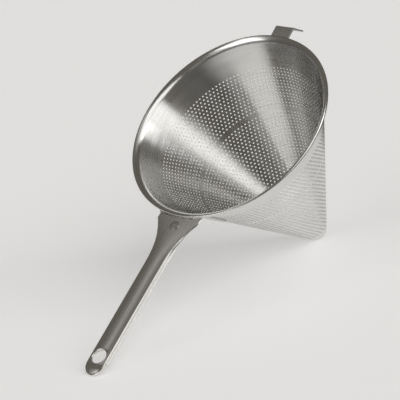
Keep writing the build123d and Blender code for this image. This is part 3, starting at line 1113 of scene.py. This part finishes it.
    def build(self, placement: Placement) -> bpy.types.Object:
        """Builds the handle's shell.

        Args:
            placement: Where the strainer lies.

        Returns:
            The shell.
        """
        piece = self.blank()
        mesh = piece.data
        layer = mesh.attributes.new("blank_place", "FLOAT_VECTOR", "POINT")
        for index, vertex in enumerate(mesh.vertices):
            layer.data[index].vector = vertex.co
        for vertex in mesh.vertices:
            vertex.co = self.pressed(vertex.co.copy(), False)
        mesh.update()
        self.add_lip(piece)
        self.thicken(piece)
        rounded(piece, self.broken_edge)
        self.cut_slots(piece)
        smooth(piece, SHARP_FOLD)
        piece.data.attributes.remove(piece.data.attributes["blank_place"])
        placement.apply(piece, self.frame)
        return piece


def edge_layer(piece: bpy.types.Object) -> bmesh.types.BMLayerItem:
    """The layer that holds where a vertex lay in the blank."""
    return bmesh.from_edit_mesh(piece.data).verts.layers.float_vector["blank_place"]


@dataclass
class Rivet:
    """Domed rivet that holds the handle to its bracket."""

    reach: float = 11.0
    shank: float = 3.0
    head: float = 5.8
    rise: float = 1.8
    side: float = 0.7
    undercut: float = 0.5
    seat: float = 0.02
    tail: float = 4.6
    tail_height: float = 1.5
    tail_corner: float = 0.2
    tail_side: float = 0.4
    grip: float = 2.45

    def build(self, placement: Placement, handle: Handle) -> bpy.types.Object:
        """Builds the rivet.

        Args:
            placement: Where the strainer lies.
            handle: The handle that it goes through.

        Returns:
            The rivet.
        """
        dome = self.rise - self.side
        ball = (self.head ** 2 + dome ** 2) / (2 * dome)
        widest = asin(self.head / ball)
        turns = [widest * i / 10 for i in range(11)]
        head = [(ball * sin(turn), self.rise - ball + ball * cos(turn)) for turn in turns]
        brim = [(self.head - self.undercut, self.seat), (self.shank, self.seat)]
        low = -self.grip
        brow = low - self.tail_side
        tail = [(self.shank, low), (self.tail - self.tail_corner, low), (self.tail, brow)]
        tail += [(self.tail * cos(pi * i / 8), brow - (self.tail_height - self.tail_side) * sin(pi * i / 8))
                 for i in range(1, 5)]
        outline = [(max(0, r) if r > 1e-6 else 0, z) for r, z in head + brim + tail]
        piece = spun("rivet_domed", outline, 56)
        smooth(piece)
        placement.apply(piece, handle.frame @ Matrix.Translation((self.reach, 0, 0)))
        return piece


def curve_between(start: Vector, corner: Vector, end: Vector, steps: int) -> list[Vector]:
    """Points of a soft bend.

    Args:
        start: Where it starts.
        corner: Where the two straight runs would meet.
        end: Where it ends.
        steps: Number of steps.

    Returns:
        The points, both ends included.
    """
    shares = [i / steps for i in range(steps + 1)]
    return [start * (1 - t) ** 2 + corner * 2 * t * (1 - t) + end * t ** 2 for t in shares]


@dataclass
class SaddleBracket:
    """Bracket under the handle: a tongue rolled to the cone and a flat leg."""

    sheet: float = 1.2
    gap: float = 0.15
    half: float = 20.0
    foot_half: float = 13.5
    straight_slant: float = 37.0
    slant: float = 63.0
    foot_overrun: float = 5.0
    leg_reach: float = 24.0
    leg_half: float = 15.0
    corner: float = 3.0
    bend: float = 2.6
    bend_slant: float = 8.5
    bend_rows: int = 5
    clearance: float = 0.05
    broken_edge: float = 0.22
    tongue_slants: tuple[float, ...] = (62, 60, 56, 51, 46, 41, 37, 31, 25, 19, 13)
    leg_stations: tuple[float, ...] = (6, 10, 14, 18, 21, 22.6, 23.6, 24)
    corner_slack: float = 0.1
    weld_slants: Point = (14.0, 28.0)
    weld_offset: float = 12.0

    def half_at(self, slant: float) -> float:
        """Half-width of the tongue at a slant."""
        s = ConeSection()
        straight = s.wall_point(self.straight_slant, 0)[1]
        bottom = s.wall_point(self.slant, 0)[1] - self.foot_overrun
        share = (straight - s.wall_point(slant, 0)[1]) / (straight - bottom)
        return self.half + (self.foot_half - self.half) * min(1, max(0, share))

    def build(self, placement: Placement, handle: Handle) -> bpy.types.Object:
        """Builds the bracket.

        Args:
            placement: Where the strainer lies.
            handle: The handle that lies on it.

        Returns:
            The bracket.
        """
        s = ConeSection()
        columns = [-1, -0.87, -0.75, -0.6, -0.4, -0.2, 0, 0.2, 0.4, 0.6, 0.75, 0.87, 1]
        leg_top = handle.drop + handle.sheet + self.clearance
        slants = [self.slant, *self.tongue_slants, self.bend_slant]
        rows: list[list[Vector]] = []
        for slant in slants:
            inset = max(0, self.corner - (self.slant - slant))
            rows.append([s.wall_place(slant, self.gap, u * (self.half_at(slant) - self.pulled(inset)), -1)
                         for u in columns])
        bends = [self.bend_points(s, handle, u * self.half, leg_top) for u in columns]
        rows += [list(row) for row in zip(*bends)]
        for station in self.leg_stations:
            inset = max(0, self.corner - (self.leg_reach - station))
            leg = (self.half if station == self.leg_stations[0] else self.leg_half) - self.pulled(inset)
            sides = [max(-leg, min(leg, u * self.half)) for u in columns]
            rows.append([self.leg_point(handle, station, side) for side in sides])
        piece = lattice("saddle_bracket_bent", rows)
        first_bend = len(slants) - 1
        count = len(columns)
        order = {tuple(round(c, 5) for c in point): (i // count, i % count)
                 for i, point in enumerate(p for row in rows for p in row)}
        bpy.ops.object.mode_set(mode="EDIT")

        def spare(face: bmesh.types.BMFace) -> bool:
            """Tells whether a face lies outside the bracket's outline."""
            places = [order[tuple(round(c, 5) for c in v.co)] for v in face.verts]
            row = min(p[0] for p in places)
            column = min(p[1] for p in places)
            return row > first_bend + self.bend_rows and column in (0, 1, count - 3, count - 2)

        select_parts(piece, "FACE", spare)
        bpy.ops.mesh.delete(type="FACE")
        bpy.ops.object.mode_set(mode="OBJECT")
        face_towards(piece, Vector((0, 0, 0)))
        use_modifier(piece, "SOLIDIFY", thickness=self.sheet, offset=-1, use_even_offset=True)
        rounded(piece, self.broken_edge)
        smooth(piece, SHARP_FOLD)
        placement.apply(piece)
        return piece

    def pulled(self, inset: float) -> float:
        """How far a rounded corner's edge is drawn in, this far past the corner's start."""
        return self.corner - sqrt(max(0, self.corner ** 2 - inset ** 2))

    def leg_point(self, handle: Handle, reach: float, across: float) -> Vector:
        """Point of the leg's top face, in the upright frame."""
        level = handle.top(reach, across, reach) - handle.sheet - self.clearance
        return handle.frame @ Vector((reach, -across, level))

    def bend_points(self, s: ConeSection, handle: Handle, across: float, leg_top: float) -> list[Vector]:
        """Points of the bend between tongue and leg.

        Args:
            s: The cone's section.
            handle: The handle.
            across: Distance from the plane of symmetry.
            leg_top: Depth of the leg's top below the rim's top.

        Returns:
            The points in the upright frame, without the first, which is the tongue's last.
        """
        start = s.wall_place(self.bend_slant, self.gap, across, -1)
        corner = s.wall_place(leg_top / cos(s.turn) + self.corner_slack, self.gap, across, -1)
        end = self.leg_point(handle, -corner.x - s.rim_radius + self.bend, across)
        corner.z = end.z
        return curve_between(start, corner, end, self.bend_rows)[1:]


@dataclass
class HookStrip:
    """Strip that stands out under the rim opposite the handle and turns down over a pot's edge."""

    sheet: float = 1.5
    width: float = 25.0
    reach: float = 14.5
    leg: float = 17.5
    leg_angle: float = 64.0
    bend: float = 2.4
    gap: float = 0.15
    tail_slants: tuple[float, ...] = (26.0, 22, 18, 14, 10, 7)
    rim_gap: float = 0.3
    bend_run: float = 2.9
    bend_cells: int = 5
    knee_cells: int = 6
    broken_edge: float = 0.28
    weld_slant: float = 16.0
    weld_offset: float = 6.5

    def path(self, offset: float) -> list[Vector]:
        """Points along the strip's upper face.

        Args:
            offset: Distance from the plane of symmetry.

        Returns:
            The points, from the tail's end to the free end.
        """
        s = ConeSection()
        top = -2 * s.bead_radius - self.rim_gap
        drop = radians(self.leg_angle)
        tail = [s.wall_place(slant, self.gap, offset, 1) for slant in self.tail_slants]
        corner = Vector((tail[-1].x, offset, top))
        corner.x = s.wall_place(-top / cos(s.turn), self.gap, offset, 1).x
        end = Vector((corner.x + self.bend_run, offset, top))
        knee_x = s.rim_radius + self.reach
        tangent = self.bend * tan(drop / 2)
        turns = [drop * i / self.knee_cells for i in range(self.knee_cells + 1)]
        knee = [Vector((knee_x - tangent + self.bend * sin(turn), offset, top - self.bend * (1 - cos(turn))))
                for turn in turns]
        last = Vector((knee_x + self.leg * cos(drop), offset, top - self.leg * sin(drop)))
        middle = [end.lerp(knee[0], share) for share in (0.33, 0.67)]
        down = [knee[-1].lerp(last, share) for share in (0.33, 0.67, 0.97, 1)]
        return tail[:-1] + curve_between(tail[-1], corner, end, self.bend_cells) + middle + knee + down

    def build(self, placement: Placement) -> bpy.types.Object:
        """Builds the strip.

        Args:
            placement: Where the strainer lies.

        Returns:
            The strip.
        """
        shares = (-1, -0.96, -0.75, -0.5, -0.25, 0, 0.25, 0.5, 0.75, 0.96, 1)
        paths = [self.path(self.width / 2 * share) for share in shares]
        piece = lattice("hook_strip_bent", [list(row) for row in zip(*paths)])
        face_towards(piece, Vector((110, 0, 100)))
        use_modifier(piece, "SOLIDIFY", thickness=self.sheet, offset=-1, use_even_offset=True)
        rounded(piece, self.broken_edge, 3)
        smooth(piece, SHARP_FOLD)
        placement.apply(piece)
        return piece


@dataclass
class Welds:
    """Spot welds through the wall, and the bead along its seam."""

    spot_radius: float = 2.5
    proud: float = 0.07
    sunk: float = 0.05
    gap: float = 0.15
    seam_half: float = 0.55
    seam_in: float = 0.95
    seam_out: float = 0.1
    seam_step: float = 0.55
    seam_top: float = 8.0
    seam_tip_gap: float = 0.5
    seam_sides: int = 12
    spot_steps: int = 28

    def spots(self, name: str, places: list[Point], side: int, strip: float,
              placement: Placement) -> bpy.types.Object:
        """Builds the spot welds through the wall and a strip on it.

        Args:
            name: The piece's name.
            places: Slant and offset of each weld.
            side: 1 at the hook and -1 at the handle.
            strip: Thickness of the strip.
            placement: Where the strainer lies.

        Returns:
            One object with all of them.
        """
        s = ConeSection()
        low = -s.sheet + self.sunk
        high = self.gap + strip + self.proud
        r = self.spot_radius
        outline = [(0, low), (r * 0.8, low), (r, low + 0.05), (r * 1.04, low + 0.16),
                   (r * 1.04, high - 0.16), (r, high - 0.05), (r * 0.8, high), (r * 0.55, high - 0.07),
                   (0, high - 0.09)]
        master = spun(name, outline, self.spot_steps)
        smooth(master, 50)
        copies = []
        for slant, offset in places:
            copy = master.copy()
            copy.data = master.data.copy()
            bpy.context.collection.objects.link(copy)
            centre = s.wall_place(slant, 0, offset, side)
            flat = Vector((centre.x, centre.y, 0)).normalized()
            outwards = Vector((cos(s.turn) * flat.x, cos(s.turn) * flat.y, -sin(s.turn)))
            own = Matrix.Translation(centre) @ outwards.to_track_quat("Z", "Y").to_matrix().to_4x4()
            placement.apply(copy, own)
            copies.append(copy)
        bpy.data.objects.remove(master)
        return joined(name, copies)

    def seam(self, placement: Placement) -> bpy.types.Object:
        """Builds the rippled bead along the wall's seam, under the handle.

        Args:
            placement: Where the strainer lies.

        Returns:
            The bead.
        """
        s = ConeSection()
        top, bottom = self.seam_top, s.rim_slant - s.tip_radius / tan(s.turn) - self.seam_tip_gap
        count = ceil((bottom - top) / self.seam_step)
        sides = self.seam_sides
        middle = (self.seam_out - self.seam_in) / 2
        tall = (self.seam_out + self.seam_in) / 2
        rows = []
        for step in range(count + 1):
            swell = (0.93 + 0.07 * sin(step * pi / 2)) * min(1, 0.3 + 0.2 * step, 0.3 + 0.2 * (count - step))
            slant = top + step * self.seam_step
            row = []
            for i in range(sides + 1):
                angle = 2 * pi * i / sides
                offset = self.seam_half * swell * sin(angle)
                row.append(s.wall_place(slant, middle + tall * swell * cos(angle), offset, -1))
            rows.append(row)
        piece = lattice("seam_weld_bead", rows)
        bpy.ops.object.mode_set(mode="EDIT")
        bpy.ops.mesh.select_all(action="SELECT")
        bpy.ops.mesh.remove_doubles(threshold=MERGE_REACH)
        bpy.ops.mesh.fill_holes(sides=sides)
        bpy.ops.mesh.select_all(action="SELECT")
        bpy.ops.mesh.normals_make_consistent(inside=False)
        bpy.ops.object.mode_set(mode="OBJECT")
        smooth(piece, 60)
        placement.apply(piece)
        return piece


@dataclass(frozen=True)
class Panel:
    """A soft box or pale wall of the studio, by the part of the sky that it fills, in degrees."""

    azimuth: float
    half_width: float
    low: float
    high: float
    strength: float
    side_edge: float = 5.0
    end_edge: float = 5.0


@dataclass
class Studio:
    """Pale floor, panels of soft light in a dim warm room, and the camera."""

    ambient: float = 0.14
    room_tone: tuple[float, float, float] = (1.0, 0.93, 0.82)
    panels: tuple[Panel, ...] = (
        Panel(-119, 15, 22, 73, 1.75, 4, 4),
        Panel(-78, 26, 28, 73, 1.60, 4, 6),
        Panel(-59, 10, 20, 46, 1.90, 6, 6),
        Panel(-82, 10, 8, 25, 1.80, 5, 5),
        Panel(-62, 11, 15, 25, 1.70, 5, 5),
        Panel(166, 15, 4, 35, 2.80, 6, 5),
        Panel(150, 6, 24, 41, 1.40, 6, 6),
        Panel(-171, 9, 4, 24, 0.75, 6, 8),
        Panel(-147, 9, 4, 22, 0.20, 6, 6),
        Panel(-110, 90, 76, 100, 0.60, 40, 6),
        Panel(103, 10, 52, 61, 0.60, 6, 4),
    )
    backdrop: float = 0.83
    floor_size: float = 30.0
    floor_gap: float = 0.0002
    floor_roughness: float = 0.6
    floor_shine: float = 0.2
    floor_tone: tuple[float, float, float] = (0.80, 0.80, 0.795)
    floor_lift: float = 0.35
    mirror_lift: float = 0.42
    pale_reach: float = 0.38
    dark_reach: float = 0.56
    dark_share: float = 0.22
    sensor: float = 36.0
    lens: float = 270.0
    view_reach: float = 50.0
    viewpoint: tuple[float, float, float] = (-2.1521013, -2.0782314, 1.3173967)
    view_right: tuple[float, float, float] = (0.64433977, -0.75137604, -0.1423387)
    view_up: tuple[float, float, float] = (0.37071254, 0.1440941, 0.91750155)
    view_back: tuple[float, float, float] = (-0.66887852, -0.64394948, 0.37139008)

    @staticmethod
    def faded(tree: bpy.types.NodeTree, value: bpy.types.NodeSocket, nought: float, full: float,
              top: float = 1.0) -> bpy.types.NodeSocket:
        """Adds a soft step.

        Args:
            tree: The nodes.
            value: What is looked at.
            nought: Value where the step is 0.
            full: Value where it is full.
            top: How much full is.

        Returns:
            The socket with the step.
        """
        feeds = {"Value": value, "From Min": nought, "From Max": full, "To Max": top}
        return added(tree, "MapRange", feeds, interpolation_type="SMOOTHSTEP").outputs["Result"]

    def lit_sky(self, tree: bpy.types.NodeTree) -> bpy.types.NodeSocket:
        """Adds up the light of the panels.

        Args:
            tree: The world's nodes.

        Returns:
            The socket with the panels' light in each direction.
        """
        way = added(tree, "TexCoord", {}).outputs["Generated"]
        split = added(tree, "SeparateXYZ", {"Vector": way})
        around = worked(tree, "ARCTAN2", split.outputs["Y"], split.outputs["X"])
        raised = worked(tree, "ARCSINE", split.outputs["Z"])
        total = None
        for panel in self.panels:
            off = worked(tree, "SUBTRACT", around, radians(panel.azimuth))
            off = worked(tree, "ABSOLUTE", worked(tree, "WRAP", off, pi, -pi))
            half, side = radians(panel.half_width), radians(panel.side_edge / 2)
            end = radians(panel.end_edge / 2)
            across = self.faded(tree, off, half + side, half - side, panel.strength)
            above = self.faded(tree, raised, radians(panel.low) - end, radians(panel.low) + end)
            below = self.faded(tree, raised, radians(panel.high) + end, radians(panel.high) - end)
            shine = worked(tree, "MULTIPLY", worked(tree, "MULTIPLY", across, above), below)
            total = shine if total is None else worked(tree, "ADD", total, shine)
        return total

    def light(self) -> None:
        """Builds the world: pale for the camera, a dim warm room with panels of light for everything else."""
        world = bpy.data.worlds.new("studio")
        bpy.context.scene.world = world
        world.use_nodes = True
        tree = world.node_tree
        tree.nodes.clear()
        room = added(tree, "Background", {"Color": (*self.room_tone, 1), "Strength": self.ambient})
        lit = added(tree, "Background", {"Strength": self.lit_sky(tree)})
        both = added(tree, "AddShader", {0: room.outputs["Background"], 1: lit.outputs["Background"]})
        seen = added(tree, "Background", {"Color": (self.backdrop, self.backdrop, self.backdrop, 1)})
        path = added(tree, "LightPath", {})
        mix = added(tree, "MixShader", {"Fac": path.outputs["Is Camera Ray"], 1: both.outputs["Shader"],
                                        2: seen.outputs["Background"]})
        added(tree, "OutputWorld", {"Surface": mix.outputs["Shader"]})

    def floor(self) -> bpy.types.Object:
        """Builds the floor: pale, and for mirrored rays dark where the room around it starts.

        Returns:
            The floor.
        """
        clear_selection()
        bpy.ops.mesh.primitive_plane_add(size=self.floor_size, location=(0, 0, -self.floor_gap))
        piece = started("studio_floor")
        material = bpy.data.materials.new("pale_floor")
        material.use_nodes = True
        tree = material.node_tree
        path = added(tree, "LightPath", {}).outputs
        near = self.faded(tree, length_of(tree, own_place(tree)), self.dark_reach, self.pale_reach)
        pale = worked(tree, "MAXIMUM", near, path["Is Camera Ray"])
        pale = worked(tree, "MAXIMUM", pale, path["Is Diffuse Ray"])
        dim_tone = (*(self.dark_share * c for c in self.floor_tone), 1)
        tone = added(tree, "Mix", {"A": dim_tone, "B": (*self.floor_tone, 1), "Factor": pale},
                     data_type="RGBA")
        direct = worked(tree, "MULTIPLY", path["Is Camera Ray"], self.floor_lift)
        mirrored = worked(tree, "MULTIPLY", path["Is Glossy Ray"], self.mirror_lift)
        lift = worked(tree, "MULTIPLY", worked(tree, "MAXIMUM", direct, mirrored), pale)
        fed(tree, tree.nodes["Principled BSDF"], {
            "Roughness": self.floor_roughness, "Specular IOR Level": self.floor_shine,
            "Emission Color": (1, 1, 1, 1), "Base Color": tone.outputs["Result"], "Emission Strength": lift})
        piece.data.materials.append(material)
        return piece

    def camera(self) -> None:
        """Places the camera at the photograph's viewpoint."""
        data = bpy.data.cameras.new("viewpoint")
        data.sensor_width = self.sensor
        data.lens = self.lens
        data.clip_end = self.view_reach
        view = bpy.data.objects.new("viewpoint", data)
        bpy.context.scene.collection.objects.link(view)
        place = Matrix((self.view_right, self.view_up, self.view_back)).transposed().to_4x4()
        place.translation = self.viewpoint
        view.matrix_world = place
        bpy.context.scene.camera = view
        bpy.context.scene.view_settings.view_transform = "Standard"


def tie(piece: bpy.types.Object, steel: Steel, finish: Finish, *nodes: str) -> None:
    """Dresses a piece, ties it to the body and hides the CAD nodes that it stands for.

    Args:
        piece: The piece.
        steel: The materials.
        finish: Its finish.
        *nodes: The CAD nodes.
    """
    steel.dress(piece, finish)
    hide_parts(*nodes)
    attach(piece, "root")
    log.info("%s: %d faces, stands for %s", piece.name, len(piece.data.polygons), ", ".join(nodes))


def main() -> None:
    """Builds the studio and every piece in order."""
    logging.basicConfig(level=logging.INFO, format="%(name)s: %(message)s")
    placement = Placement()
    handle, rivet, bracket, hook, welds = Handle(), Rivet(), SaddleBracket(), HookStrip(), Welds()
    steel = Steel(placement, handle.frame)
    studio = Studio()
    studio.light()
    studio.floor()
    studio.camera()
    cone = Cone()
    walls = cone.build(placement)
    cone.dress(walls, steel)
    for piece in walls:
        log.info("%s: %d faces", piece.name, len(piece.data.polygons))
    tie(handle.build(placement), steel, steel.HANDLE, "handle_shell")
    tie(rivet.build(placement, handle), steel, steel.RIVET, "handle_rivet")
    tie(bracket.build(placement, handle), steel, steel.BRACKET, "saddle_bracket")
    tie(hook.build(placement), steel, steel.HOOK, "hook_strip")
    saddle = [(slant, side * bracket.weld_offset) for slant in bracket.weld_slants for side in (-1, 1)]
    spots = welds.spots("saddle_spot_welds", saddle, -1, bracket.sheet, placement)
    tie(spots, steel, steel.WELD, "saddle_welds")
    hooked = [(hook.weld_slant, side * hook.weld_offset) for side in (-1, 1)]
    spots = welds.spots("hook_spot_welds", hooked, 1, hook.sheet, placement)
    tie(spots, steel, steel.WELD, "hook_welds")
    tie(welds.seam(placement), steel, steel.WELD, "seam_weld")
    for node, finish in (("rim_wire", steel.WIRE), ("tip_weld", steel.WELD), ("rim_welds", steel.WELD)):
        steel.dress(frame["nodes"][node], finish)
        log.info("%s: CAD node, dressed", node)


if __name__ == "__main__":
    main()
